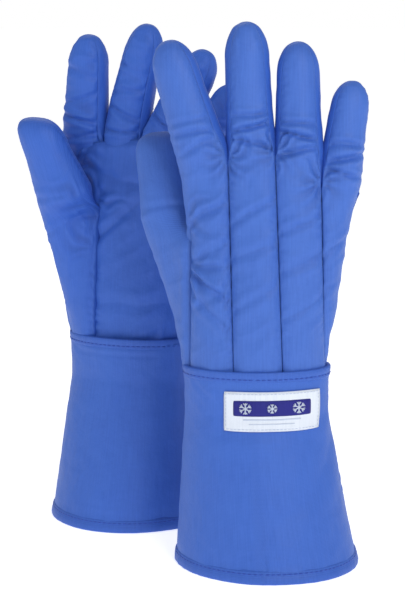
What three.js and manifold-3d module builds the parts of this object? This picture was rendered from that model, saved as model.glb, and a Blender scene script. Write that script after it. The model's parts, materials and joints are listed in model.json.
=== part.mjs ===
// A pair of mid-arm cryogenic gloves, standing on their open cuffs with the fingers up.
//
// Units are millimetres. Each glove is drawn as a right-hand glove in its own frame: +X runs to the
// little-finger side, +Y to the palm, +Z to the fingertips, and the origin is on the floor under
// the wrist. The left glove is the same model mirrored in Y, with its own finger leans.
//
// Construction, from the outside in:
//   shell        water-resistant fabric, cut as panels: four strips on the back of the hand, a palm,
//                a thumb base, and a back and a front panel on every finger
//   quilted liner  batting with its lining: a tube in every finger and in the cuff, and three pieces
//                in the hand, for its back, its palm and the base of its thumb
// Each finger turns on a rounded base that sits in a dish in the hand, the hand turns on a rounded
// skirt inside the top of the cuff, and the hollow runs from the open cuff to every fingertip.
import * as THREE from 'three';
import Module from 'manifold-3d';

const wasm = await Module();
wasm.setup();

// ---------------------------------------------------------------- driving dimensions
const SHELL = 1.2; // outer fabric with its seam allowance
const LINER = 6; // batting and lining together
const GAP = 0.3; // between two pieces that touch
const HOLLOW = SHELL + GAP + LINER; // from the outer face to the hollow

const WRIST_HINGE_Z = 150;
const CUFF_TOP_Z = 141;
const FLARE_Z = 112; // the cuff is straight above this height and flares below it
const CUFF_LINER_TOP_Z = 126; // clear of the hand's skirt as it turns
const HEM_HEIGHT = 13;
const WELT_HEIGHT = 7;
const HEM_RADIUS = 64.7; // the shell's, at the floor
const CUFF_HALF_WIDTH = 51;
const CUFF_HALF_DEPTH = { flared: 37, straight: 36.2 }; // just under and just over FLARE_Z
const HAND_TOP_Z = 304;
const HAND_HOLLOW_TOP_Z = 262; // above this only the ways into the fingers are hollow

const FINGER_SIDES = 12;
const HAND_SIDES = 16;

// Seams of the back of the hand, each from the wrist (at SEAM_LOW_Z) to the finger crotch.
const SEAM_LOW_Z = 130;
const SEAMS = [
  { low: -15, high: -19.6, crotchZ: 294 }, // index and middle
  { low: 20, high: 12.4, crotchZ: 298 }, // middle and ring
  { low: 46.5, high: 44.3, crotchZ: 277 }, // ring and little
];
const THUMB_SEAM = { back: -47, palm: -20, topZ: 247 };
const THUMB_ROOT = { at: [-29, 4, 153], a: 18, b: 24 }; // where the thumb's base grows out of the wrist
const THUMB_SLEEVE = 45; // length of the base that runs straight, in line with the thumb
const THUMB_BLOCK_IN = 9; // how far under the palm's face the seat of the thumb is cut
const BORE_OVERLAP = 8; // how far each finger's hollow runs on into the hand's
const MOUTH_FLARE = { width: 3, depth: 2, below: 5, above: 8 }; // of the hand's hollow, at the wrist
const BASE_RINGS = [-65, -32]; // degrees below the knuckle, round a digit's base
const TIP_RINGS = [0, 48]; // degrees above the start of the tip

// The hand's outer face: half-depth b, and where its thumb side and little-finger side run.
const HAND = [
  { z: 136, from: -45.5, to: 45.5, b: 31 },
  { z: 143, from: -49, to: 49, b: 33.3 },
  { z: WRIST_HINGE_Z, from: -50, to: 50, b: 34 },
  { z: 185, from: -50, to: 56, b: 29.5 },
  { z: 220, from: -50, to: 62, b: 24.5 },
  { z: 250, from: -51, to: 67, b: 20.5 },
  { z: 280, from: -57, to: 71.5, b: 18 },
  { z: HAND_TOP_Z, from: -62, to: 73, b: 16.5 },
];

// A digit's own frame has its origin at the knuckle, +Z along the digit and +X its hinge axis.
// width and depth are the half sizes at the knuckle; lean and flex are in degrees, lean to the
// little-finger side and flex to the palm.
const RIGHT = {
  name: 'right',
  hemShift: 8,
  digits: {
    thumb: { knuckle: [-60, 30, 244], lean: -10, flex: 20, length: 60, width: 23, depth: 16 },
    index: { knuckle: [-42.5, 0, 303], lean: -17.5, flex: 3, length: 67, width: 17.5, depth: 15 },
    middle: { knuckle: [-4.6, 0, 308], lean: -4, flex: 3, length: 72, width: 16.5, depth: 15 },
    ring: { knuckle: [29, 0, 301], lean: -3, flex: 3, length: 66, width: 16.3, depth: 14.5 },
    little: { knuckle: [59.4, 0, 287], lean: 5, flex: 3, length: 53, width: 14.6, depth: 13.5 },
  },
};
const LEFT = {
  name: 'left',
  hemShift: 0,
  digits: {
    thumb: { knuckle: [-42.5, 31, 250], lean: -17, flex: 10, length: 62, width: 23, depth: 16 },
    index: { knuckle: [-38, 0, 303], lean: 4, flex: 4, length: 68, width: 17, depth: 15 },
    middle: { knuckle: [-1.5, 0, 308], lean: 12, flex: 4, length: 72, width: 16.5, depth: 15 },
    ring: { knuckle: [31.5, 0, 301], lean: 25, flex: 4, length: 66, width: 16, depth: 14.5 },
    little: { knuckle: [60, 0, 287], lean: 30, flex: 4, length: 53, width: 14.6, depth: 13.5 },
  },
};
const TAPER = 0.2; // share of its width that a digit loses by the tip
const TIP_START = 0.62; // where the rounded tip begins, as a share of the length
const SEAT = 0.9; // how far below the knuckle the hand ends, as a share of the digit's half-depth
const DISH_GAP = 1.2; // between a digit's rounded base and the dish that it turns in

// Where each glove stands: its wrist in the plan, and how far it is turned about the vertical.
const PLACES = {
  right: { at: [0, 0], turn: 0 },
  left: { at: [-96, 125], turn: -20 },
};

const LABEL = { from: -22, to: 44, low: 102, high: 130, rise: 0.8 };
const LABEL_BAR = { from: -15, to: 37, low: 112.5, high: 123.5, rise: 0.5 };

// ---------------------------------------------------------------- materials
const fabric = (color, roughness) => new THREE.MeshStandardMaterial({ color, roughness, metalness: 0 });
const MATERIALS = {
  shell: fabric(0x4a74cf, 0.62),
  palm: fabric(0x4470cc, 0.62),
  cuff: fabric(0x4872cc, 0.6),
  liner: fabric(0x3c5fae, 0.85),
  trim: fabric(0x3f69c6, 0.6),
  label: fabric(0xe6eaf2, 0.7),
  labelBar: fabric(0x1d1f86, 0.6),
};

// ---------------------------------------------------------------- geometry helpers
/** A closed surface through a stack of elliptical rings {x, y, z, a, b}, with a pole at each end. */
function stack(rings, sides, low = rings[0].z, high = rings.at(-1).z) {
  const first = rings[0];
  const last = rings.at(-1);
  const points = [first.x, first.y, low];
  for (const ring of rings) {
    for (let i = 0; i < sides; i++) {
      const angle = (2 * Math.PI * i) / sides;
      points.push(ring.x + ring.a * Math.cos(angle), ring.y + ring.b * Math.sin(angle), ring.z);
    }
  }
  points.push(last.x, last.y, high);
  const top = points.length / 3 - 1;
  const faces = [];
  const at = (ring, i) => 1 + ring * sides + (i % sides);
  for (let i = 0; i < sides; i++) {
    faces.push(0, at(0, i + 1), at(0, i));
    faces.push(top, at(rings.length - 1, i), at(rings.length - 1, i + 1));
    for (let ring = 0; ring + 1 < rings.length; ring++) {
      faces.push(at(ring, i), at(ring, i + 1), at(ring + 1, i + 1));
      faces.push(at(ring, i), at(ring + 1, i + 1), at(ring + 1, i));
    }
  }
  const geometry = new THREE.BufferGeometry();
  geometry.setAttribute('position', new THREE.Float32BufferAttribute(points, 3));
  return geometry.setIndex(faces);
}

/** The corners of a rectangle in the X-Z plane. */
function rectangle(fromX, toX, fromZ, toZ) {
  return [[fromX, fromZ], [toX, fromZ], [toX, toZ], [fromX, toZ]];
}

/** A polygon in the X-Z plane, extruded from one Y to another. */
function prism(outline, fromY, toY) {
  const shape = new THREE.Shape(outline.map(([x, z]) => new THREE.Vector2(x, -z)));
  const solid = new THREE.ExtrudeGeometry(shape, { depth: toY - fromY, bevelEnabled: false });
  return solid.rotateX(-Math.PI / 2).translate(0, fromY, 0);
}

/** A three.js geometry as a manifold-3d solid, moved by an optional matrix. */
function solid(geometry, matrix = new THREE.Matrix4()) {
  const moved = geometry.clone().applyMatrix4(matrix);
  const position = moved.getAttribute('position');
  const shared = new Map();
  const corner = [];
  const vertices = [];
  for (let i = 0; i < position.count; i++) {
    const point = [position.getX(i), position.getY(i), position.getZ(i)];
    const key = point.map((value) => Math.round(value * 1e4)).join();
    if (!shared.has(key)) {
      shared.set(key, vertices.length / 3);
      vertices.push(...point);
    }
    corner.push(shared.get(key));
  }
  const order = moved.index ? Array.from(moved.index.array, (i) => corner[i]) : corner;
  const mesh = { numProp: 3, vertProperties: new Float32Array(vertices), triVerts: new Uint32Array(order) };
  return new wasm.Manifold(new wasm.Mesh(mesh));
}

/** A named three.js mesh made from a manifold-3d solid. */
function part(name, shape, material) {
  const data = shape.getMesh();
  const geometry = new THREE.BufferGeometry();
  geometry.setAttribute('position', new THREE.BufferAttribute(data.vertProperties, 3));
  geometry.setIndex(new THREE.BufferAttribute(data.triVerts, 1));
  geometry.computeVertexNormals();
  const mesh = new THREE.Mesh(geometry, material);
  mesh.name = name;
  return mesh;
}

const FAR = 400; // past every face of a glove

// ---------------------------------------------------------------- digits
/** Rings of a digit's face, inset from its outer face, with its rounded base and tip. */
function digitRings(digit, inset) {
  const { length, width, depth } = digit;
  const ring = (z, scale, dome = 1) => ({
    x: 0, y: 0, z, a: (width * scale - inset) * dome, b: (depth * scale - inset) * dome,
  });
  const reach = depth - inset;
  const base = BASE_RINGS.map((degrees) => {
    const angle = THREE.MathUtils.degToRad(degrees);
    return ring(reach * Math.sin(angle), 1, Math.cos(angle));
  });
  const start = TIP_START * length;
  const rise = length - inset - start;
  const narrow = 1 - TAPER * TIP_START;
  const tip = TIP_RINGS.map((degrees) => {
    const angle = THREE.MathUtils.degToRad(degrees);
    return ring(start + rise * Math.sin(angle), narrow, Math.cos(angle));
  });
  return [...base, ring(0, 1), ...tip];
}

function digitSolid(digit, inset, matrix) {
  const geometry = stack(digitRings(digit, inset), FINGER_SIDES, inset - digit.depth, digit.length - inset);
  return solid(geometry, matrix);
}

/** The hollow of a digit, run on down past its base by the given length. */
function digitHollow(digit, below, matrix) {
  const rings = digitRings(digit, HOLLOW).filter((ring) => ring.z >= 0);
  rings.unshift({ ...rings[0], z: -below });
  return solid(stack(rings, FINGER_SIDES, -below, digit.length - HOLLOW), matrix);
}

/** The digit's frame in the glove's frame. */
function digitGroup(digit) {
  const group = new THREE.Group();
  group.position.set(...digit.knuckle);
  group.rotation.set(-THREE.MathUtils.degToRad(digit.flex), THREE.MathUtils.degToRad(digit.lean), 0, 'YXZ');
  group.updateMatrix();
  return group;
}

/** A digit's back panel, front panel and quilted liner, in the digit's own frame. */
function buildDigit(glove, name) {
  const digit = glove.digits[name];
  const group = digitGroup(digit);
  const hollow = digitHollow(digit, 2 * digit.depth);
  const shell = digitSolid(digit, 0).subtract(digitSolid(digit, SHELL)).subtract(hollow);
  const block = new THREE.BoxGeometry(FAR, FAR, FAR);
  const half = (side) => solid(block.clone().translate(0, side * (FAR / 2 + GAP / 2), 0));
  const label = `${glove.name}_${name}`;
  group.add(part(`${label}_back_panel`, shell.intersect(half(-1)), MATERIALS.shell));
  group.add(part(`${label}_front_panel`, shell.intersect(half(1)), MATERIALS.palm));
  const liner = digitSolid(digit, SHELL + GAP).subtract(hollow);
  group.add(part(`${label}_quilted_liner`, liner, MATERIALS.liner));
  return group;
}

// ---------------------------------------------------------------- hand
/** The hand with its thumb base, inset from the outer face, before the digits' seats are cut. */
function handSolid(glove, inset) {
  const rings = HAND.map(({ z, from, to, b }) => ({
    x: (from + to) / 2, y: 0, z, a: (to - from) / 2 - inset, b: b - inset,
  }));
  const { thumb } = glove.digits;
  const onThumb = (below) => new THREE.Vector3(0, 0, -below).applyMatrix4(digitGroup(thumb).matrix);
  const base = [
    { ...THUMB_ROOT, at: new THREE.Vector3(...THUMB_ROOT.at) },
    { at: onThumb(THUMB_SLEEVE), a: thumb.width, b: (thumb.depth + THUMB_ROOT.b) / 2 },
    { at: onThumb(0), a: thumb.width, b: thumb.depth },
  ].map(({ at, a, b }) => ({ ...at, a: a - inset, b: b - inset }));
  return solid(stack(rings, HAND_SIDES)).add(solid(stack(base, HAND_SIDES)));
}

/** Everything above the seats: a block over each finger, one over the thumb, and the dishes. */
function seatCutters(glove) {
  const { thumb, ...fingers } = glove.digits;
  const edges = [-FAR, ...SEAMS.map((seam) => seam.high), FAR];
  const cutters = Object.values(fingers).map((digit, i) => {
    const seatZ = digit.knuckle[2] - SEAT * digit.depth;
    return solid(prism(rectangle(edges[i], edges[i + 1], seatZ, FAR), -FAR, FAR));
  });
  const overThumb = new THREE.BoxGeometry(3 * thumb.width, 4 * thumb.depth, FAR);
  overThumb.translate(-thumb.width / 4, thumb.depth, FAR / 2 - SEAT * thumb.depth);
  const thumbBlock = solid(overThumb, digitGroup(thumb).matrix);
  const palmFace = HAND.find((ring) => ring.z >= THUMB_SEAM.topZ).b;
  const thumbSide = rectangle(-FAR, THUMB_SEAM.palm, 0, FAR);
  cutters.push(thumbBlock.intersect(solid(prism(thumbSide, palmFace - THUMB_BLOCK_IN, FAR))));
  for (const digit of Object.values(glove.digits)) {
    cutters.push(digitSolid(digit, -DISH_GAP, digitGroup(digit).matrix));
  }
  return cutters.reduce((all, cutter) => all.add(cutter));
}

/** The hand's hollow, with the way into each digit. */
function handHollow(glove) {
  const inner = handSolid(glove, HOLLOW);
  const roof = HAND_HOLLOW_TOP_Z;
  let hollow = inner.intersect(solid(prism(rectangle(-FAR, FAR, 0, roof), -FAR, FAR)));
  const [mouth] = HAND;
  const low = {
    x: 0,
    y: 0,
    z: mouth.z - MOUTH_FLARE.below,
    a: mouth.to - HOLLOW + MOUTH_FLARE.width,
    b: mouth.b - HOLLOW + MOUTH_FLARE.depth,
  };
  hollow = hollow.add(solid(stack([low, { ...low, z: mouth.z + MOUTH_FLARE.above }], HAND_SIDES)));
  for (const digit of Object.values(glove.digits)) {
    const below = Math.max(THUMB_SLEEVE, digit.knuckle[2] - roof + BORE_OVERLAP);
    hollow = hollow.add(digitHollow(digit, below, digitGroup(digit).matrix));
  }
  return hollow;
}

/** The line of a seam on the back of the hand, carried on past both of its ends. */
function seamAt(seam, z) {
  const share = (z - SEAM_LOW_Z) / (seam.crotchZ - SEAM_LOW_Z);
  return THREE.MathUtils.lerp(seam.low, seam.high, share);
}

/** The hand's fabric panels and its quilted liner. */
function buildHand(glove) {
  const cut = seatCutters(glove);
  const hollow = handHollow(glove);
  const layer = (shape) => shape.subtract(cut).subtract(hollow);
  const shell = layer(handSolid(glove, 0).subtract(handSolid(glove, SHELL)));
  const liner = layer(handSolid(glove, SHELL + GAP));
  const group = new THREE.Group();
  const add = (name, shape, material) => group.add(part(`${glove.name}_${name}`, largest(shape), material));
  const low = SEAM_LOW_Z;
  const high = HAND_TOP_Z + HOLLOW; // over the top of the hand
  const edge = GAP / 2;

  // The thumb's base, and the same zone grown by the gap, to cut the pieces beside it.
  const zone = (grow) => {
    const back = rectangle(-FAR, THUMB_SEAM.back + grow, low, THUMB_SEAM.topZ + grow);
    const palm = rectangle(-FAR, THUMB_SEAM.palm + grow, low, THUMB_SEAM.topZ + grow);
    return solid(prism(back, -FAR, grow ? edge : 0)).add(solid(prism(palm, grow ? -edge : 0, FAR)));
  };
  const thumbZone = zone(0);
  const besideThumb = zone(GAP);
  add('thumb_base_panel', shell.intersect(thumbZone), MATERIALS.palm);
  add('thumb_base_quilted_liner', liner.intersect(thumbZone), MATERIALS.liner);

  const fingers = Object.keys(glove.digits).filter((name) => name !== 'thumb');
  fingers.forEach((name, i) => {
    const from = (z) => (i === 0 ? -FAR : seamAt(SEAMS[i - 1], z) + edge);
    const to = (z) => (i === SEAMS.length ? FAR : seamAt(SEAMS[i], z) - edge);
    const outline = [[from(low), low], [to(low), low], [to(high), high], [from(high), high]];
    const strip = solid(prism(outline, -FAR, -edge)).subtract(besideThumb);
    add(`back_strip_${name}`, shell.intersect(strip), MATERIALS.shell);
  });

  const whole = rectangle(-FAR, FAR, low, high);
  const backHalf = solid(prism(whole, -FAR, -edge)).subtract(besideThumb);
  const palmHalf = solid(prism(whole, edge, FAR)).subtract(besideThumb);
  add('palm_panel', shell.intersect(palmHalf), MATERIALS.palm);
  add('hand_back_quilted_liner', liner.intersect(backHalf), MATERIALS.liner);
  add('palm_quilted_liner', liner.intersect(palmHalf), MATERIALS.liner);
  return group;
}

/** The largest body of a solid: a cut can leave a crumb of fabric beside a seam. */
function largest(shape) {
  return shape.decompose().sort((one, other) => other.volume() - one.volume())[0];
}

// ---------------------------------------------------------------- cuff
/** A cuff-shaped stack between two heights, offset from the shell's outer face. */
function cuffSolid(glove, offset, from, to) {
  const section = (z) => {
    const flare = Math.max(0, 1 - z / FLARE_Z);
    const depth = z > FLARE_Z ? CUFF_HALF_DEPTH.straight : CUFF_HALF_DEPTH.flared;
    return {
      x: glove.hemShift * flare,
      y: 0,
      z,
      a: THREE.MathUtils.lerp(CUFF_HALF_WIDTH, HEM_RADIUS, flare) + offset,
      b: THREE.MathUtils.lerp(depth, HEM_RADIUS, flare) + offset,
    };
  };
  const heights = [from, FLARE_Z / 2, FLARE_Z, to].filter((z) => z >= from && z <= to);
  return solid(stack([...new Set(heights)].map(section), HAND_SIDES));
}

/** A ring of the cuff's shape between two offsets. */
function cuffRing(glove, outer, inner, from, to) {
  return cuffSolid(glove, outer, from, to).subtract(cuffSolid(glove, inner, from - 1, to + 1));
}

/** The cuff: shell, quilted liner, the welt at the wrist seam, the bound hem and the label. */
function buildCuff(glove) {
  const group = new THREE.Group();
  const add = (name, shape, material) => group.add(part(`${glove.name}_${name}`, shape, material));
  const foot = SHELL + GAP;
  add('cuff_shell', cuffRing(glove, 0, -SHELL, foot, CUFF_TOP_Z), MATERIALS.cuff);
  add('cuff_quilted_liner', cuffRing(glove, -SHELL - GAP, -HOLLOW, foot, CUFF_LINER_TOP_Z), MATERIALS.liner);
  const welt = cuffRing(glove, GAP + SHELL, GAP, CUFF_TOP_Z - WELT_HEIGHT, CUFF_TOP_Z);
  add('wrist_welt', welt, MATERIALS.trim);

  const wrap = cuffRing(glove, GAP + SHELL, -HOLLOW - GAP - SHELL, 0, HEM_HEIGHT);
  const inside = cuffRing(glove, GAP, -HOLLOW - GAP, SHELL, 2 * HEM_HEIGHT);
  add('hem_binding', wrap.subtract(inside), MATERIALS.trim);

  const patch = (label, lift) => {
    const ring = cuffRing(glove, lift + label.rise, lift, label.low, label.high);
    return ring.intersect(solid(prism(rectangle(label.from, label.to, 0, FAR), -FAR, 0)));
  };
  add('label_patch', patch(LABEL, GAP), MATERIALS.label);
  add('label_bar', patch(LABEL_BAR, 2 * GAP + LABEL.rise), MATERIALS.labelBar);
  return group;
}

// ---------------------------------------------------------------- the pair
function buildGlove(glove, mirrored) {
  const group = new THREE.Group();
  group.add(buildCuff(glove), buildHand(glove));
  for (const name of Object.keys(glove.digits)) group.add(buildDigit(glove, name));
  const { at, turn } = PLACES[glove.name];
  group.position.set(...at, 0);
  group.rotation.z = THREE.MathUtils.degToRad(turn);
  group.scale.y = mirrored ? -1 : 1;
  return group;
}

const pair = new THREE.Group();
pair.add(buildGlove(RIGHT, false), buildGlove(LEFT, true));

// The part's origin is on the floor, in the middle of the pair's plan.
const box = new THREE.Box3().setFromObject(pair, true);
const middle = box.getCenter(new THREE.Vector3());
pair.position.set(-middle.x, -middle.y, -box.min.z);

export default pair;
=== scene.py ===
"""A pair of padded cryogenic gloves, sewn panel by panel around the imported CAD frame.

Each glove is drawn in millimetres as a right-hand glove: +X to the little finger, +Y to the palm,
+Z to the fingertips, with the origin on the floor under the wrist. Every digit is one closed tube
of fabric from the wrist to its tip: its columns are the panels' edges, so the seams are real
valleys, cloth simulation swells the padding between them, and the tube is then cut into panels.
"""
import json
import math

import bmesh
import bpy
import numpy as np
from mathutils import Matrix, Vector


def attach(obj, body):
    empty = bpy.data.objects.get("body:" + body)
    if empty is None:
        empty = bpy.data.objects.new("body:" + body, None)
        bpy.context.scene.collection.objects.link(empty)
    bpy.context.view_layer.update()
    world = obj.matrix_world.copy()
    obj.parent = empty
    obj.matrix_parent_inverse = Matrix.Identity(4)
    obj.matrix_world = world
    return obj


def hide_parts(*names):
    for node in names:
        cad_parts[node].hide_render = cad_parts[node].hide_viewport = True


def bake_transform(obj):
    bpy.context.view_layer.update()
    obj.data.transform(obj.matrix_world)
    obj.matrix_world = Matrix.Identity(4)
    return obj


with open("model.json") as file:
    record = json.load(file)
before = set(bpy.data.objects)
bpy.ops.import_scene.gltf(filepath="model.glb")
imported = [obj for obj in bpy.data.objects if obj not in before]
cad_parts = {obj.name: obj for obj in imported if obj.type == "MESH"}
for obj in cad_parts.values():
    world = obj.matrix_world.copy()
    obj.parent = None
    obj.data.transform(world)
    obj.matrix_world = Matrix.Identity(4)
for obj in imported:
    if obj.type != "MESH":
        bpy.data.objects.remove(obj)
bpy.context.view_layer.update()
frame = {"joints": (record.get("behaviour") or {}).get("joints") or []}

MM = 0.001
TAU = 2 * math.pi

# ---- driving sizes, millimetres
HAND_LOW_Z = 130.0  # the hand's fabric runs on down inside the cuff
FLARE_Z = 110.0  # the cuff widens below this height
HEM_RADIUS = 65.0
CUFF_TOP = (50.4, 33.6)  # half width and half depth
PADDING = 7.5  # from the outer face to the lining
CLOTH = 0.9  # thickness of the outer cloth
ROW = 3.0  # height of one row of the cloth's grid
CUFF_RADIUS = 58.0  # mean radius of the cuff, for its weave
SEAM_SHADE_WIDTH = 1.5  # how far from a seam its line of painted shade fades

# The hand's outer face: height, thumb side, little-finger side, half depth.
HAND = [
    (128, -48.5, 48.5, 29.5),
    (142, -49.5, 49.5, 31.0),
    (160, -50.0, 51.5, 31.5),
    (185, -50.0, 56.5, 29.5),
    (220, -50.0, 62.5, 25.5),
    (250, -51.0, 67.5, 21.5),
    (280, -57.0, 71.5, 18.5),
    (304, -61.0, 74.5, 16.5),
    (330, -64.0, 77.0, 15.5),
]
FINGERS = ("index", "middle", "ring", "little")
# Seams of the back of the hand between one finger and the next: x at the wrist, x and z at the crotch.
SEAMS = [(-15.0, -20.0, 292.0), (19.5, 12.4, 296.0), (50.0, 44.6, 275.0)]
CROTCH_Z = [282.0, *[seam[2] for seam in SEAMS], 268.0]
SIZES = {  # length from the knuckle, half width and half depth there
    "thumb": (62.0, 22.8, 16.5),
    "index": (68.0, 17.6, 15.3),
    "middle": (73.0, 16.8, 15.3),
    "ring": (66.5, 16.5, 14.8),
    "little": (54.0, 14.6, 13.8),
}
# Where a finger's panels meet, in degrees round it from the middle of its back.
BACK_EDGE, FRONT_EDGE = 52, 128  # a gusset runs between them
OUTER_EDGE = 98  # the outer side of the index and the little finger: one seam and no gusset
HIDDEN = 4.0  # how far inside the hand's face a finger's hidden walls lie
THUMB_CROTCH = 4.0  # how far under its knuckle the thumb leaves the hand
UNDER_CROTCH = 14  # how far under its crotch a finger's front panels start, behind the palm
FLEX = {"right": 3.0, "left": 4.0}  # degrees towards the palm at rest
THUMB_FLEX = {"right": 20.0, "left": 10.0}
TAPER = 0.18  # share of its width that a digit loses towards its tip
TIP_START = 0.62  # share of a digit's length where its round tip starts
# How far each fingertip curves sideways.
SWAY = {"right": (0.0, 1.5, 2.0, 2.0), "left": (1.0, 3.5, 5.0, 0.0)}
THUMB_SLIM = {"right": 0.0, "left": 0.14}  # how much narrower the thumb's end is
THUMB_CUT = {"right": 0.1, "left": 0.42}  # how steeply its tip falls to the finger side
THUMB_SEAM_X = (-20.0, -47.0)  # where the base of the thumb is sewn to the palm and to the back
LABEL = {"from": -21.0, "to": 43.0, "low": 101.5, "high": 129.0}
HEM_SHIFT = {"right": 8.0, "left": 0.0}  # how far the hem stands to the little-finger side


def smooth(x, low, high):
    t = np.clip((np.asarray(x, float) - low) / (high - low), 0, 1)
    return t * t * (3 - 2 * t)


def lerp(a, b, t):
    return a + (b - a) * t


def bell(x, width):
    """1 at 0, fading over width on both sides."""
    return np.exp(-(x / width) ** 2)


def unit(v):
    return v / np.maximum(np.linalg.norm(v, axis=-1, keepdims=True), 1e-9)


# ---- glove and digit frames
JOINTS = {j["name"]: j for j in frame["joints"]}


class Glove:
    """One glove's drawn frame, read from the wrist hinge of the CAD frame."""

    def __init__(self, side):
        self.side = side
        self.hand_sign = 1 if side == "right" else -1
        wrist = JOINTS[f"{side}_wrist_bend"]
        bend = np.array(wrist["axis"], float)
        place = np.array(wrist["pos_m"], float)
        self.origin = np.array([place[0], place[1], 0.0])
        self.x = -self.hand_sign * bend
        self.y = np.cross(bend, [0, 0, 1.0])
        self.z = np.array([0, 0, 1.0])
        self.digits = {name: self.digit(name) for name in SIZES}

    def to_row(self, points):
        p = np.asarray(points, float) * MM
        return self.origin + p[..., :1] * self.x + p[..., 1:2] * self.y + p[..., 2:] * self.z

    def from_row(self, point):
        d = np.asarray(point, float) - self.origin
        return np.stack([d @ self.x, d @ self.y, d @ self.z], -1) / MM

    def digit(self, name):
        """The knuckle and the axes of a digit, in the glove's frame."""
        joint = JOINTS[f"{self.side}_{name}_bend"]
        axis = np.array(joint["axis"], float)
        across = -self.hand_sign * np.array([axis @ self.x, axis @ self.y, axis @ self.z])
        lean = math.atan2(-across[2], across[0])
        flex = math.radians((THUMB_FLEX if name == "thumb" else FLEX)[self.side])
        up = np.array([math.sin(lean) * math.cos(flex), math.sin(flex), math.cos(lean) * math.cos(flex)])
        knuckle = self.from_row(joint["pos_m"])
        return {"knuckle": knuckle, "across": across, "up": up, "front": np.cross(up, across)}


# ---- sections
def hand_section(z):
    """Centre x, half width and half depth of the hand at each height."""
    heights, low, high, depth = (np.array(column, float) for column in zip(*HAND))
    z = np.asarray(z, float)
    a, b, c = (np.interp(z, heights, values) for values in (low, high, depth))
    return (a + b) / 2, (b - a) / 2, c


def ellipse_point(z, angle, inset=0.0):
    """A point of the hand's face: angle 0 is the middle of the back, 90 degrees the little-finger side."""
    x, a, b = hand_section(z)
    z = np.asarray(z, float) + 0 * angle
    return np.stack([x + (a - inset) * np.sin(angle), -(b - inset) * np.cos(angle), z], -1)


def angle_at(z, x):
    centre, a, _ = hand_section(z)
    return np.arcsin(np.clip((x - centre) / a, -0.999, 0.999))


def seam_x(i, z):
    """x of the seam between finger i-1 and finger i of the back of the hand."""
    low, high, crotch = SEAMS[i - 1]
    return lerp(low, high, (np.asarray(z, float) - HAND_LOW_Z) / (crotch - HAND_LOW_Z))


def digit_profile(name, s, inset=0.0):
    """Half width and half depth of a digit at a distance along it from the knuckle."""
    length, a, b = SIZES[name]
    start = TIP_START * length
    u = np.clip((s - start) / (length - inset - start), 0, 1)
    square = 2.9 if name == "thumb" else 2.15
    close = (1 - u ** square) ** (1 / square)
    t = 1 - TAPER * np.clip(s, -10, start) / length
    return (a * t - inset) * close, (b * t - inset) * close


def superellipse(angle, power=2.35):
    c, s = np.cos(angle), np.sin(angle)
    return np.sign(s) * np.abs(s) ** (2 / power), -np.sign(c) * np.abs(c) ** (2 / power)


def in_digit(digit, x, y, s):
    """Points x across, y towards the palm and s along a digit from its knuckle."""
    return (digit["knuckle"] + x[..., None] * digit["across"] + y[..., None] * digit["front"]
            + s[..., None] * digit["up"])


# ---- fabric tubes
class Tube:
    """A closed tube of fabric: rows from the wrist to the tip, columns round it.

    roles says which panel each column's face to the next one belongs to; seams lists the columns
    that are sewn down."""

    def __init__(self, points, roles, seams, across, along):
        self.points, self.roles, self.seams = points, roles, seams
        self.across, self.along = across, along  # millimetres, for the weave
        self.free = np.zeros(along.shape)  # 0 where the cloth belongs to the hand, 1 on the digit
        self.partial = {}  # columns that are sewn down only up to a height


def finger_columns(i):
    """Angles of the columns round finger i, which panel follows each one, and the seam columns."""
    back = (-OUTER_EDGE if i == 0 else -BACK_EDGE), (OUTER_EDGE if i == 3 else BACK_EDGE)
    front = (OUTER_EDGE if i == 3 else FRONT_EDGE), 360 - (OUTER_EDGE if i == 0 else FRONT_EDGE)
    panels = [("back", *back, 26), ("right_gusset", BACK_EDGE, FRONT_EDGE, 12),
              ("front", *front, 26 if i in (0, 3) else 20),
              ("left_gusset", 360 - FRONT_EDGE, 360 - BACK_EDGE, 12)]
    missing = {0: "left_gusset", 3: "right_gusset"}.get(i)
    angles, roles, seams = [], [], []
    for name, start, end, count in panels:
        if name != missing:
            seams.append(len(angles))
            angles += list(np.linspace(start, end, count, endpoint=False))
            roles += [name] * count
    return np.radians(np.array(angles, float)), np.array(roles), seams, np.radians(back)


def rows_of(name, knuckle_z, low, inset=0.0):
    length = SIZES[name][0] - inset
    start = TIP_START * length
    straight = np.arange(low, knuckle_z + start, ROW)
    tip = start + (length - start) * np.sin(np.radians(np.linspace(4, 88.5, 13)))
    return np.concatenate([straight, knuckle_z + tip])


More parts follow.
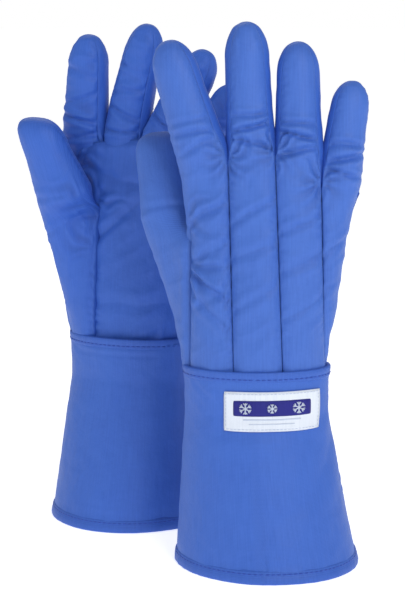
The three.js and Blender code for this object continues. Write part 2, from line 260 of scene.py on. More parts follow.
def finger_tube(glove, i, inset=0.0, low=HAND_LOW_Z):
    """One finger with its share of the hand."""
    name = FINGERS[i]
    digit = glove.digits[name]
    angles, roles, seams, back = finger_columns(i)
    heights = rows_of(name, digit["knuckle"][2], low, inset)
    h, th = np.meshgrid(heights, angles, indexing="ij")
    s = h - digit["knuckle"][2]
    # the finger's own round section
    a, b = digit_profile(name, s, inset)
    ex, ey = superellipse(th)
    sway = SWAY[glove.side][i] * smooth(s, 0, SIZES[name][0])
    finger = in_digit(digit, a * ex + sway, b * ey, s)
    # its share of the hand: a strip of the back, a wall down each side, and the palm face
    left = -math.radians(OUTER_EDGE) if i == 0 else angle_at(h, seam_x(i, h))
    right = math.radians(OUTER_EDGE) if i == 3 else angle_at(h, seam_x(i + 1, h))
    t = np.where(roles == "back", (th - back[0]) / (back[1] - back[0]), 0)
    hand = ellipse_point(h, lerp(left, right, t), inset)
    edge_l, edge_r = ellipse_point(h, left + 0 * h, inset), ellipse_point(h, right + 0 * h, inset)
    palm_l = ellipse_point(h, math.pi - left + 0 * h, inset + HIDDEN)
    palm_r = ellipse_point(h, math.pi - right + 0 * h, inset + HIDDEN)
    for role, first, start, end in (("right_gusset", BACK_EDGE, edge_r, palm_r),
                                    ("left_gusset", 360 - FRONT_EDGE, palm_l, edge_l)):
        share = ((np.degrees(th) - first) / (FRONT_EDGE - BACK_EDGE))[..., None]
        hand = np.where((roles == role)[:, None], lerp(start, end, share), hand)
    front_from = OUTER_EDGE if i == 3 else FRONT_EDGE
    front_to = 360 - (OUTER_EDGE if i == 0 else FRONT_EDGE)
    share = (np.degrees(th) - front_from) / (front_to - front_from)
    palm_from, palm_to = (right if i == 3 else math.pi - right), (TAU + left if i == 0 else math.pi - left)
    # the outer fingers' side seams stay on the hand's face, where the palm is sewn to them
    from_seam = {0: 1 - share, 3: share}.get(i)
    near_seam = 0 * share if from_seam is None else 1 - smooth(from_seam, 0, 0.2)
    palm = ellipse_point(h, lerp(palm_from, palm_to, share), inset + HIDDEN * (1 - near_seam))
    hand = np.where((roles == "front")[:, None], palm, hand)
    # from the hand's share to the finger, each side at its own crotch
    side = (1 + ex) / 2
    crotch = lerp(CROTCH_Z[i], CROTCH_Z[i + 1], side)
    outer = {0: 1 - side, 3: side}.get(i, 0 * side)
    spread = lerp(9.0, 30.0, smooth(outer, 0.1, 0.95) * np.where(roles == "front", near_seam, 1))
    w = smooth(h, crotch - spread, crotch + np.where(roles == "front", 6, 14))[..., None]
    points = lerp(hand, finger, w)
    along = h.copy()
    across = np.where(roles == "back", points[..., 0] - digit["knuckle"][0], points[..., 1])
    across = np.where(roles == "front", points[..., 0] - digit["knuckle"][0], across)
    tube = Tube(points, roles, seams, across, along)
    tube.free = smooth(h, crotch - UNDER_CROTCH, crotch + 4)
    return tube


def thumb_tube(glove, inset=0.0, low=HAND_LOW_Z):
    """The thumb with its base, which is sewn to the back and the palm and swells out between them."""
    digit = glove.digits["thumb"]
    knuckle_z = digit["knuckle"][2]
    count = 64
    turn = -95 + np.arange(count) * 360 / count
    roles = np.where(np.arange(count) < count // 2, "back", "front")
    heights = rows_of("thumb", knuckle_z, low, inset)
    h, th = np.meshgrid(heights, np.radians(turn), indexing="ij")
    s = np.maximum(h - knuckle_z, 0)
    a, b = digit_profile("thumb", s, inset)
    a = a * (1 - THUMB_SLIM[glove.side] * smooth(s, -5, 45))
    ex, ey = superellipse(th)
    s = s - THUMB_CUT[glove.side] * a * ex * smooth(s, 20, 55)
    own = in_digit(digit, a * ex, b * ey, s)
    own[..., 2] += np.minimum(h - knuckle_z, 0)
    # the base's share of the hand's outline: out from the palm seam, round the side, to the back seam
    first, last = 130.0, 400.0
    shown = (turn - first) % 360 <= last - first
    v = ((turn - first) % 360 / (last - first))[None, :]
    palm_angle = math.pi - angle_at(h, THUMB_SEAM_X[0])
    back_angle = TAU + angle_at(h, THUMB_SEAM_X[1])
    proud = 1.3 * smooth(v, 0, 0.08) * smooth(1 - v, 0, 0.08)
    outline = ellipse_point(h, lerp(palm_angle, back_angle, v), inset - proud)
    share = ((v * (last - first) - (last - first)) / (360 - (last - first)))[..., None]
    wall = lerp(ellipse_point(h, back_angle, inset + 9), ellipse_point(h, palm_angle, inset + 9), share)
    hand = np.where(shown[None, :, None], outline, wall)
    crotch = knuckle_z - THUMB_CROTCH
    sewn = smooth(h, crotch - 12, crotch + 4)
    swelling = np.clip((h - 144) / (knuckle_z - 144), 0, 1)
    outer = np.where(shown, smooth(v, 0, 0.4) * smooth(1 - v, 0, 0.4), 0)
    free = lerp(sewn, swelling, outer)
    points = lerp(hand, own, free[..., None])
    joins = [int(np.argmin(np.abs((turn - edge + 180) % 360 - 180))) for edge in (first, last)]
    tube = Tube(points, roles, [0, count // 2], a * ex, h)
    tube.partial = {joins[0]: crotch, joins[1]: crotch}
    tube.free = free
    return tube


def palm_sheet(inset=0.0):
    """The palm panel: its columns run from the thumb side to the little-finger side."""
    count, rows = 64, 54
    u, v = np.meshgrid(np.linspace(0, 1, count), np.linspace(0, 1, rows))
    angle = np.radians(lerp(262.0, 98.0, u))
    edge_x = lerp(-60.0, 68.0, u)
    crotches = np.array([seam[1] for seam in SEAMS])
    top = np.interp(edge_x, [-62, *crotches, 70], [279, *[z - 3 for z in CROTCH_Z[1:4]], 262])
    h = lerp(HAND_LOW_Z, top, v)
    points = ellipse_point(h, angle, inset)
    return Tube(points, np.full(count, "palm"), [0, count - 1], points[..., 0], h)


def cuff_section(z, angle, offset=0.0, shift=0.0):
    flare = np.clip(1 - z / FLARE_Z, 0, 1) ** 1.08
    a, b = (lerp(half, HEM_RADIUS, flare) + offset for half in CUFF_TOP)
    return np.stack([shift * flare + a * np.sin(angle), -b * np.cos(angle), z + 0 * angle], -1)


# ---- cloth
def grid_faces(rows, columns, closed):
    """Quads of a grid whose faces point out, for rows going up and columns going round."""
    i, j = np.meshgrid(np.arange(rows - 1), np.arange(columns if closed else columns - 1), indexing="ij")
    k = (j + 1) % columns
    low, high = i * columns, (i + 1) * columns
    return np.stack([low + j, low + k, high + k, high + j], -1).reshape(-1, 4)


def grid_normals(p, closed):
    """Outward unit normals of a grid of points."""
    du = np.roll(p, -1, 1) - np.roll(p, 1, 1) if closed else np.gradient(p, axis=1)
    dv = np.gradient(p, axis=0)
    return unit(np.cross(du, dv))


def make_mesh(name, points, faces):
    mesh = bpy.data.meshes.new(name)
    mesh.from_pydata([tuple(p) for p in points], [], [tuple(int(v) for v in f) for f in faces])
    mesh.update()
    return mesh


def add_object(name, data):
    obj = bpy.data.objects.new(name, data)
    bpy.context.scene.collection.objects.link(obj)
    return obj


def swell(p, closed, pinned, slack, pressure, cap, frames=16):
    """Cloth simulation of a grid in millimetres: pinned is 1 where it is sewn down, slack is how much
    longer the cloth is than its place, and no point moves more than cap."""
    rows, columns = p.shape[:2]
    enlarged = MM * 10  # the cloth solver works better on bigger cloth
    mesh = make_mesh("cloth", p.reshape(-1, 3) * enlarged, grid_faces(rows, columns, closed))
    obj = add_object("cloth", mesh)
    for name, values in (("pin", pinned), ("slack", slack)):
        group = obj.vertex_groups.new(name=name)
        flat = np.clip(np.broadcast_to(values, (rows, columns)).reshape(-1), 0, 1)
        for level in np.unique(np.round(flat, 2)):
            group.add(np.flatnonzero(np.round(flat, 2) == level).tolist(), float(level), "REPLACE")
    modifier = obj.modifiers.new("cloth", "CLOTH")
    settings = {"quality": 6, "mass": 0.15, "tension_stiffness": 25, "compression_stiffness": 25,
                "shear_stiffness": 8, "bending_stiffness": 0.35, "air_damping": 4, "use_pressure": True,
                "uniform_pressure_force": pressure, "vertex_group_mass": "pin",
                "vertex_group_shrink": "slack", "shrink_min": 0.0, "shrink_max": -0.12}
    for key, value in settings.items():
        setattr(modifier.settings, key, value)
    modifier.settings.effector_weights.gravity = 0
    modifier.collision_settings.use_collision = False
    scene = bpy.context.scene
    modifier.point_cache.frame_start, modifier.point_cache.frame_end = 1, frames
    for f in range(1, frames + 1):
        scene.frame_set(f)
    evaluated = obj.evaluated_get(bpy.context.evaluated_depsgraph_get())
    moved = np.empty(rows * columns * 3)
    evaluated.data.vertices.foreach_get("co", moved)
    scene.frame_set(1)
    bpy.data.objects.remove(obj)
    bpy.data.meshes.remove(mesh)
    step = moved.reshape(p.shape) / enlarged - p
    size = np.linalg.norm(step, axis=-1, keepdims=True)
    return p + step * np.minimum(1, cap * np.tanh(size / cap) / np.maximum(size, 1e-9))


# ---- fine fabric shape
def value_noise(points, scale, seed):
    """Smooth noise from -1 to 1 at each point, about scale millimetres across."""
    table = np.random.default_rng(seed).random((32, 32, 32)) * 2 - 1
    q = np.asarray(points, float) / scale + 100.0
    cell = np.floor(q).astype(int)
    f = q - cell
    f = f * f * (3 - 2 * f)
    total = 0.0
    for corner in np.ndindex(2, 2, 2):
        weight = np.prod(np.where(corner, f, 1 - f), axis=-1)
        x, y, z = np.moveaxis((cell + corner) % 32, -1, 0)
        total = total + weight * table[x, y, z]
    return total


def halved(p, axis, closed):
    """The grid with a point on a smooth curve between each two along an axis."""
    p = np.moveaxis(p, axis, 0)
    if closed:
        before, after, beyond = np.roll(p, 1, 0), np.roll(p, -1, 0), np.roll(p, -2, 0)
    else:
        padded = np.concatenate([2 * p[:1] - p[1:2], p, 2 * p[-1:] - p[-2:-1]])
        before, after, beyond = padded[:-3], p[1:], padded[3:]
    start = p if closed else p[:-1]
    middle = (9 * (start + after) - before - beyond) / 16
    both = np.stack([start, middle], 1).reshape(-1, *p.shape[1:])
    if not closed:
        both = np.concatenate([both, p[-1:]])
    return np.moveaxis(both, 0, axis)


def seam_distance(p, seams, closed, along):
    """Distance along the cloth from each point to the nearest seam of its row, millimetres; seams
    gives the height up to which each seam column is sewn."""
    step = np.linalg.norm(np.diff(p, axis=1, append=p[:, :1] if closed else p[:, -1:]), axis=-1)
    place = np.concatenate([np.zeros((len(p), 1)), np.cumsum(step, 1)], 1)
    total = place[:, -1:]
    place = place[:, :-1]
    distance = np.full(place.shape, np.inf)
    for column, top in seams.items():
        gap = np.abs(place - place[:, column:column + 1])
        gap = np.minimum(gap, total - gap) if closed else gap
        distance = np.minimum(distance, np.hypot(gap, np.maximum(along - top, 0)))
    return distance


def hand_normals(p):
    """Outward directions of the hand's face, level, near each point."""
    x, a, b = hand_section(p[..., 2])
    return unit(np.stack([(p[..., 0] - x) / a ** 2, p[..., 1] / b ** 2, 0 * x], -1))


def gathers(p, centre, reach, depth, count, aim, seed):
    """Folds that fan out from where seams meet, at (x, z) on one face, towards aim if it is given."""
    dx, dz = p[..., 0] - centre[0], p[..., 2] - centre[1]
    r = np.hypot(dx, dz)
    turn = np.arctan2(dz, dx)
    wave = np.cos(count * turn + 1.5 * value_noise(p, 15.0, seed) * TAU / 3 + seed)
    fan = 1 - 2 * np.abs(wave) ** 0.7
    if aim is not None:
        fan = fan * smooth(np.cos(turn - math.radians(aim)), 0.1, 0.8)
    return depth * fan * bell(r, reach) * (1 - bell(r, 0.22 * reach))


def thumb_seam(z, side):
    """Where the base of the thumb is sewn to the palm (0) or to the back (1), at each height."""
    angle = angle_at(z, THUMB_SEAM_X[side])
    return ellipse_point(z, math.pi - angle if side == 0 else angle)


def tipped(grid):
    """The grid with one more row, which draws the fingertip closed."""
    last = grid[-1:]
    return np.concatenate([grid, lerp(last.mean(1, keepdims=True), last, 0.03)])


def slanted(p, across, down, scale):
    """The points turned about y and scaled, for folds that run at a slant."""
    return p @ np.array([[across, 0, -down], [0, 1, 0], [down, 0, across]]) * np.array(scale)


def tailor(tube, closed, seed, pucker=0.5, creases=(), fans=(), folds=0.7, rumple=0.0, beside=None):
    """Refines a swollen tube: seams pulled in, puckers beside them, creases across, soft folds, and
    rumples across a digit's front. beside is a thumb seam and its top, for a piece that the thumb is
    sewn to. The result's dark is painted shade, darker the deeper a point lies in a fold or a seam."""
    p, along, across, free = (halved(halved(grid, 0, False), 1, closed)
                              for grid in (tube.points, tube.along, tube.across, tube.free))
    roles = np.repeat(tube.roles, 2)[:p.shape[1]]
    on_cuff_shell = "cuff" in roles
    sewn = {2 * column: np.inf for column in tube.seams}
    sewn.update({2 * column: top for column, top in tube.partial.items()})
    free = np.clip(free, 0, 1)
    n = unit(lerp(hand_normals(p), grid_normals(p, closed), free[..., None]))
    d = seam_distance(p, sewn, closed, along)
    if beside:
        side, top = beside
        away = np.linalg.norm(p - thumb_seam(p[..., 2], side), axis=-1)
        d = np.minimum(d, np.hypot(away, np.maximum(p[..., 2] - top, 0)))
    on_hand = 1 - free
    higher = on_hand * smooth(p[..., 2], 150, 240)
    # 1 where the cloth faces the front or the back, so that the digits' outlines stay smooth
    facing = np.ones(d.shape) if on_cuff_shell else smooth(np.abs(n[..., 1]), 0.45, 0.95)
    off_seam = smooth(d, 0, 1.6)

    # a sharp stitched groove in a wide shallow one, which ends before a digit's tip
    drawn_in = on_hand * lerp(0.55, 1, smooth(p[..., 2], 150, 240))
    groove = (0.2 + 0.7 * drawn_in) * np.exp(-d / 0.9) + (0.5 + 0.8 * drawn_in) * bell(d, 4.4)
    offset = -groove * (1 - smooth(along, along.max() - 8, along.max() - 1) * closed)
    # puckers beside the seams
    ripple = np.sin(TAU * (along / 6.4 + value_noise(p, 17.0, seed)))
    strength = np.clip(0.5 + 1.2 * value_noise(p, 19.0, seed + 1), 0, 1.3)
    offset += pucker * lerp(0.3, 1, facing) * strength * ripple * bell(d - 2.4, 3.6) * off_seam
    # long soft folds, slanting ones on the hand, and small unevenness
    offset += folds * value_noise(p * np.array([1.0, 1.0, 0.45]), 24.0, seed + 2) * smooth(d, 0, 9)
    ridged = 1 - 2 * np.abs(value_noise(slanted(p, 0.8, 0.6, (0.4, 0.6, 1.0)), 11.0, seed + 6))
    offset += 0.75 * ridged * smooth(d, 0, 6) * on_hand
    offset += 0.3 * value_noise(p, 7.5, seed + 3) * smooth(d, 0, 5)

    # painted shade in the creases, fans and rumples, deepest along each fold's line
    painted_crease_shade = np.zeros(d.shape)
    bent = 2.4 * value_noise(p, 19.0, seed + 4)
    uneven = np.clip(0.6 + 1.3 * value_noise(p, 11.0, seed + 9), 0, 1)
    for height, depth, slope, width, role in creases:
        line = np.abs(along - height - slope * across - bent)
        banks = 0.6 * bell(line - 2.2 * width, 1.3 * width)
        place = (roles == role)[None, :] * off_seam * lerp(0.2, 1, facing)
        offset += place * depth * (banks - np.exp(-(line / width) ** 1.2))
        painted_crease_shade = np.maximum(painted_crease_shade, place * min(1, depth / 2.4) * uneven * np.exp(-line / (0.7 * width)))
    for centre, reach, depth, count, aim, role in fans:
        fold = gathers(p, centre, reach, depth, count, aim, seed + 5)
        fold = (roles == role)[None, :] * off_seam * facing * fold
        offset += fold
        painted_crease_shade = np.maximum(painted_crease_shade, np.clip(-0.55 * fold, 0, 0.7))
    if rumple:
        folded = 1 - 2.2 * np.abs(value_noise(slanted(p, 0.95, -0.3, (0.28, 0.5, 1.0)), 8.5, seed + 8)) ** 0.8
        fold = rumple * folded * smooth(d, 0, 5) * free * (roles == "front")[None, :] * facing
        offset += fold
        painted_crease_shade = np.maximum(painted_crease_shade, np.clip(-0.6 * fold, 0, 0.7))
    if on_cuff_shell:
        offset = offset * (1 - under_label(p))
    # painted shade: a dark line along each seam, stronger on the hand where the seams are drawn in deeper,
    # together with the painted shade of the folds
    dark = np.maximum(np.exp(-d / SEAM_SHADE_WIDTH) * (1 - 0.65 * free) * lerp(0.75, 1, higher), painted_crease_shade)
    p = p + offset[..., None] * n
    if closed and not on_cuff_shell:
        p, along, across, free, d, dark = (tipped(grid) for grid in (p, along, across, free, d, dark))
    fine = Tube(p, roles, list(sewn), across, along)
    fine.free, fine.seam_distance, fine.dark = free, d, dark
    return fine


# ---- materials
def node(tree, kind, places=None, **names):
    """A node; names are its own settings or its inputs by name, and places its inputs by number. A
    value that is another node's socket is linked."""
    made = tree.nodes.new(kind)
    for key, value in [*names.items(), *(places or {}).items()]:
        if isinstance(key, str) and key not in made.inputs:
            setattr(made, key, value)
        elif isinstance(value, bpy.types.NodeSocket):
            tree.links.new(value, made.inputs[key])
        else:
            made.inputs[key].default_value = value
    return made


def mixed(tree, factor, a, b):
    """A colour from a (at 0) to b (at 1)."""
    return node(tree, "ShaderNodeMix", {0: factor, 6: a, 7: b}, data_type="RGBA", blend_type="MIX").outputs[2]


def woven(name, colour, dark, thread=0.42, roughness=0.5, sheen=0.12, bump=0.35, quilt=False):
    """Woven nylon: threads from the weave map (in metres), cloudy colour, painted shade along seams and in
    creases, wrinkles.
    """
    material = bpy.data.materials.new(name)
    material.use_nodes = True
    tree = material.node_tree
    weave = node(tree, "ShaderNodeUVMap", uv_map="weave").outputs["UV"]
    place = node(tree, "ShaderNodeTexCoord").outputs["Object"]
    bands = 3.2  # the wave texture's own bands in one unit

    def wave(direction, scale):
        return node(tree, "ShaderNodeTexWave", wave_type="BANDS", bands_direction=direction,
                    wave_profile="SIN", Scale=scale, Vector=weave).outputs["Fac"]

    def noise(vector, scale, detail, rough):
        return node(tree, "ShaderNodeTexNoise", Scale=scale, Detail=detail, Roughness=rough,
                    Vector=vector).outputs["Fac"]

    def remapped(value, low, high, to_low, to_high):
        ends = {"From Min": low, "From Max": high, "To Min": to_low, "To Max": to_high}
        return node(tree, "ShaderNodeMapRange", clamp=True, Value=value, **ends).outputs["Result"]

    def bumped(height, strength, distance, **under):
        return node(tree, "ShaderNodeBump", Strength=strength, Distance=distance, Height=height,
                    **under).outputs["Normal"]

    scale = 1 / (thread * MM * 2) / bands
    threads = {0: wave("X", scale), 1: wave("Y", scale)}
    cloth = node(tree, "ShaderNodeMath", threads, operation="MULTIPLY").outputs[0]
    cloud = noise(place, 38.0, 4.0, 0.6)
    grain = noise(node(tree, "ShaderNodeMapping", Scale=(1.0, 0.05, 1.0), Vector=weave).outputs["Vector"],
                  900.0, 2.0, 0.5)
    painted_shade = node(tree, "ShaderNodeAttribute", attribute_name="seam").outputs["Fac"]
    light = (*[min(1, c * 1.12 + 0.01) for c in colour], 1)
    base = mixed(tree, cloud, (*dark, 1), (*colour, 1))
    base = mixed(tree, remapped(grain, 0.35, 0.75, 0, 0.45), base, light)
    base = mixed(tree, cloth, base, light)
    # painted shade along seams and in creases, from the seam attribute, in a darker copy of the cloth's
    # colour
    base = mixed(tree, remapped(painted_shade, 0.2, 1, 0, 0.45), base, (*[c * 0.55 for c in dark], 1))
    normal = bumped(noise(place, 210.0, 3.0, 0.55), bump, 0.0012)
    normal = bumped(cloth, 0.5, 0.00012, Normal=normal)
    if quilt:
        normal = bumped(wave("X", 1 / (0.028 * bands)), 0.8, 0.003, Normal=normal)

    shader = tree.nodes["Principled BSDF"]
    tint = (*[min(1, c * 1.6 + 0.25) for c in colour], 1)
    for key, value in (("Roughness", roughness), ("Specular IOR Level", 0.3), ("Sheen Weight", sheen),
                       ("Sheen Roughness", 0.4), ("Sheen Tint", tint)):
        shader.inputs[key].default_value = value
    rough = remapped(cloud, 0, 1, roughness - 0.09, roughness + 0.12)
    for key, socket in (("Base Color", base), ("Roughness", rough), ("Normal", normal)):
        tree.links.new(socket, shader.inputs[key])
    return material


def linear(*srgb):
    """A colour of a screen, 0 to 255, as the renderer's linear light."""
    return tuple(((c / 255 + 0.055) / 1.055) ** 2.4 if c > 10 else c / 255 / 12.92 for c in srgb)


MATERIALS = {
    "back_shell": woven("nylon_back", linear(66, 108, 195), linear(54, 92, 178)),
    # the palm's nylon is the back's made a little darker and less red: painted shade for the palm, finger
    # fronts and gussets, which face away from the light
    "palm_shell": woven("nylon_palm", linear(57, 102, 195), linear(46, 87, 179)),
    "cuff_shell": woven("nylon_cuff", linear(60, 104, 195), linear(50, 90, 180)),
    "trim": woven("nylon_trim", linear(58, 100, 191), linear(47, 86, 175), roughness=0.52),
    "quilted_liner": woven("brushed_lining", linear(52, 84, 160), linear(42, 70, 140), thread=0.7,
                           roughness=0.85, sheen=0.6, quilt=True),
    "label": woven("label_satin", linear(222, 229, 240), linear(206, 215, 230), thread=0.3, bump=0.12),
    "label_bar": woven("label_navy", linear(26, 28, 128), linear(20, 21, 108), thread=0.3, bump=0.1),
}
THREAD = woven("sewing_thread", linear(44, 78, 176), linear(36, 66, 158), thread=0.2, roughness=0.45,
               sheen=0.2)
PALE_THREAD = woven("label_thread", linear(196, 206, 226), linear(182, 194, 216), thread=0.2)


# ---- pieces
def weave_map(across, along):
    return np.stack([across.ravel(), along.ravel()], 1)


def level_grid(low, high, step, columns):
    """Heights and angles of a grid round a glove."""
    return np.meshgrid(np.arange(low, high, step), np.arange(columns) * TAU / columns, indexing="ij")


def add_piece(glove, name, points, faces, slot, replaces=(), uv=None, seam=None, material=None):
    """A piece of the glove from points in its drawn frame, with its weave map and its painted shade along
    seams and in creases.
    """
    if glove.hand_sign < 0:
        faces = [face[::-1] for face in faces]
    mesh = make_mesh(name, glove.to_row(np.asarray(points).reshape(-1, 3)), faces)
    obj = add_object(f"{glove.side}_{name}", mesh)
    loops = np.empty(len(mesh.loops), int)
    mesh.loops.foreach_get("vertex_index", loops)
    uv = np.asarray(points, float).reshape(-1, 3)[:, [0, 2]] if uv is None else uv
    layer = mesh.uv_layers.new(name="weave")
    layer.data.foreach_set("uv", (uv[loops] * MM).astype(np.float32).ravel())
    # the seam attribute holds the painted shade along seams and in creases
    painted_shade = mesh.attributes.new("seam", "FLOAT", "POINT")
    if seam is not None:
        painted_shade.data.foreach_set("value", seam.astype(np.float32))
    mesh.polygons.foreach_set("use_smooth", [True] * len(mesh.polygons))
    mesh.materials.append(material or MATERIALS[slot])
    if replaces:
        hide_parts(*[f"{glove.side}_{n}" for n in replaces])
    return obj


def thicken(obj):
    """Gives a piece the cloth's thickness, inwards."""
    cloth = obj.modifiers.new("cloth_thickness", "SOLIDIFY")
    cloth.thickness = CLOTH * MM
    cloth.offset = -1


def panel(glove, fine, role, name, slot, replaces=(), low=None, closed=True):
    """Cuts one panel out of a refined tube, from its seam to its next seam."""
    columns = fine.points.shape[1]
    picked = np.flatnonzero(fine.roles == role)
    if closed:
        wraps = picked[0] == 0 and picked[-1] == columns - 1
        start = picked[np.argmax(np.diff(picked)) + 1] if wraps else picked[0]
        picked = (start + np.arange(len(picked) + 1)) % columns
    first = 0 if low is None else int(np.searchsorted(fine.along[:, picked].mean(1), low))
    p, across, along, dark = (grid[first:, picked]
                              for grid in (fine.points, fine.across, fine.along, fine.dark))
    faces = grid_faces(*p.shape[:2], False).tolist()
    # dark is the painted shade along seams and in creases
    obj = add_piece(glove, name, p, faces, slot, replaces, weave_map(across, along), dark.ravel())
    thicken(obj)
    return obj


def tube_piece(glove, name, p, slot, replaces, across, along, painted_shade=None, inwards=True):
    """A closed tube of cloth as one piece; a lining's faces look inwards."""
    faces = grid_faces(*p.shape[:2], True)
    faces = faces[:, ::-1] if inwards else faces
    return add_piece(glove, name, p, faces.tolist(), slot, replaces, weave_map(across, along), painted_shade)


def ring_piece(glove, name, profile, replaces, seed):
    """A band of trim round the cuff whose section is a closed loop of (offset, height)."""
    rows, columns = len(profile), 168
    offsets, heights = np.array(profile, float).T
    z, angle = np.meshgrid(heights, np.linspace(0, TAU, columns, endpoint=False), indexing="ij")
    shift = HEM_SHIFT[glove.side]
    p = cuff_section(z, angle, np.repeat(offsets[:, None], columns, 1), shift)
    out = cuff_section(z, angle, 1.0, shift) - cuff_section(z, angle, 0.0, shift)
    wave = np.sin(columns / 4 * angle + 2 * value_noise(p, 30.0, seed)) * value_noise(p, 14.0, seed + 1)
    p = p + out * 0.25 * wave[..., None] + cuff_folds(p, glove)
    i, j = np.meshgrid(np.arange(rows), np.arange(columns), indexing="ij")
    low, high, beside = i * columns, (i + 1) % rows * columns, (j + 1) % columns
    faces = np.stack([low + j, low + beside, high + beside, high + j], -1).reshape(-1, 4)
    uv = weave_map(angle * CUFF_RADIUS, z + offsets[:, None])
    return add_piece(glove, name, p, faces.tolist(), "trim", replaces, uv)


def cuff_folds(p, glove):
    """Broad soft waves of a cuff, shared by every piece on it."""
    seed = 40 if glove.side == "right" else 50
    low = 1 - smooth(p[..., 2], 20, 125)
    flat = p * np.array([1.0, 1.0, 0.35])
    size = value_noise(flat, 62.0, seed) * (1.2 + 1.6 * low) + 0.7 * value_noise(flat, 27.0, seed + 1)
    return unit(p * np.array([1.0, 1.0, 0.0])) * size[..., None]


def stitches(glove, name, path, normals, slot, material, stitch=2.7, pitch=3.9, radius=0.34):
    """Sewing thread along a path on the cloth: one short rounded stitch after another."""
    path, normals = np.asarray(path, float), np.asarray(normals, float)
    place = np.concatenate([[0], np.cumsum(np.linalg.norm(np.diff(path, axis=0), axis=1))])
    # the rings of one stitch: place along it, thickness, and how far it stands off the cloth
    rings = [(-0.5, 0.35, -0.25), (-0.36, 0.9, 0.12), (0.0, 1.0, 0.3), (0.36, 0.9, 0.12), (0.5, 0.35, -0.25)]
    round_it = np.arange(6)

    def on_path(at, values):
        return np.array([np.interp(at, place, values[:, axis]) for axis in range(3)])

    points, faces = [], []
    for k in range(int(place[-1] // pitch)):
        middle = (k + 0.5) * pitch
        along = unit(on_path(middle + 0.5, path) - on_path(middle - 0.5, path))
        n = on_path(middle, normals)
        n = unit(n - along * (n @ along))
        side = np.cross(along, n)
        base = len(points)
        for t, size, lift in rings:
            centre = on_path(middle, path) + along * t * stitch + n * lift * radius
            for turn in TAU * round_it / 6:
                points.append(centre + radius * size * (side * math.cos(turn) + n * math.sin(turn)))
        for r in range(len(rings) - 1):
            for q in round_it:
                a, b = base + 6 * r + q, base + 6 * r + (q + 1) % 6
                faces.append([a, b, b + 6, a + 6])
        faces.append([base + q for q in round_it[::-1]])
        faces.append([base + 6 * (len(rings) - 1) + q for q in round_it])
    return add_piece(glove, name, points, faces, slot, material=material)


def cuff_line(glove, z, offset, count=240):
    """A level line round the cuff with its outward directions, for a row of stitches."""
    angle = np.linspace(0, TAU, count)
    shift = HEM_SHIFT[glove.side]
    p = cuff_section(np.full(count, float(z)), angle, offset, shift)
    n = cuff_section(np.full(count, float(z)), angle, offset + 1, shift) - p
    return p + cuff_folds(p, glove), unit(n)


def under_label(p):
    """1 under the label, which holds the cloth flat, fading to 0 around it."""
    beyond = np.maximum(LABEL["from"] - p[..., 0], p[..., 0] - LABEL["to"])
    beyond = np.maximum(beyond, np.maximum(LABEL["low"] - p[..., 2], p[..., 2] - LABEL["high"]))
    return (1 - smooth(beyond, 1, 9)) * (p[..., 1] < 0)


# ---- joints
BLEND_START = {"ring": -6.5}  # along the digit from its knuckle, where blend_digit puts the start of a bend that it does not apply


def blend_digit(glove, obj, name):
    """Bakes a piece's place into its mesh; the ends of a bend at the knuckle are worked out, but the piece is
    not bent.
    """
    digit = glove.digits[name]
    start = BLEND_START.get(name, -12.0)
    ends = [glove.to_row(digit["knuckle"] + t * digit["up"]) for t in (start, start + 24.0)]
    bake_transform(obj)


def blend_wrist(glove, obj):
    low, high = (tuple(glove.to_row((0, 0, z))) for z in (118.0, 140.0))
    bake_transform(obj)


# ---- one glove
def make_finger(glove, i):
    name = FINGERS[i]
    tube = finger_tube(glove, i)
    knuckle_z = glove.digits[name]["knuckle"][2]
    h = tube.along
    lowest = min(CROTCH_Z[i], CROTCH_Z[i + 1])
    pinned = ((tube.roles != "back")[None, :] & (h < lowest - 6)).astype(float)
    pinned[:, tube.seams] = 1
    pinned[:2] = 1
    slack = 0.25 + 0.55 * bell(h - knuckle_z + 4, 14) + 0.1 * smooth(h, 130, 260)
    tube.points = swell(tube.points, True, pinned, slack, 34.0, 3.2)
    seed = 100 * (i + 1) + (0 if glove.side == "right" else 7)
    # creases: height, depth, slope, width and panel; fans: centre, reach, depth, count, aim and panel
    firm = 0.6 if i == 0 else 1.0
    tilt = 0.22 if i % 2 else -0.2
    creases = [(knuckle_z + height, *crease) for height, *crease in (
        (-9, 2.6 * firm, -tilt, 1.8, "back"), (1, 3.2 * firm, tilt, 1.6, "back"),
        (10, 1.9 * firm, 0.4 * tilt, 1.5, "back"), (-58, 1.5, 0.6, 2.4, "back"),
        (-84, 1.3, 0.45, 2.8, "back"), (-118, 1.1, 0.6, 2.8, "back"), (-8, 2.0, 0.2, 1.8, "front"),
        (6, 2.2, -0.2, 1.7, "front"), (21, 1.6, 0.3, 1.7, "front"), (41, 1.2, -0.25, 1.7, "front"))]
    fans = [((SEAMS[k][1], SEAMS[k][2] - 3), 17.0, 1.9, 4, None, "back") for k in (i - 1, i) if 0 <= k < 3]
    if i == 0:
        creases += [(216, 1.6, -0.17, 2.0, "back"), (207, 2.3, -0.65, 2.4, "back"),
                    (193, 1.6, -0.9, 2.8, "back")]
        fans += [((THUMB_SEAM_X[1] - 4, 214.0), 30.0, 1.6, 5, -30, "back"),
                 ((THUMB_SEAM_X[1] - 3, 246.0), 20.0, 1.7, 4, 10, "back")]
    beside = (1, glove.digits["thumb"]["knuckle"][2] - THUMB_CROTCH) if i == 0 else None
    fine = tailor(tube, True, seed, creases=creases, fans=fans, rumple=1.1, beside=beside)
    back = (f"back_strip_{name}", f"{name}_back_panel")
    made = [panel(glove, fine, "back", f"{name}_back", "back_shell", back)]
    for role, crotch, shown in (("front", lowest, (f"{name}_front_panel",)),
                                ("left_gusset", CROTCH_Z[i], ()), ("right_gusset", CROTCH_Z[i + 1], ())):
        if role in fine.roles:
            low = crotch - UNDER_CROTCH
            made.append(panel(glove, fine, role, f"{name}_{role}", "palm_shell", shown, low=low))
    for obj in made:
        blend_digit(glove, obj, name)
    return fine


def inside_hand(p, inset):
    x, a, b = hand_section(p[..., 2])
    return ((p[..., 0] - x) / (a - inset)) ** 2 + (p[..., 1] / (b - inset)) ** 2 < 1


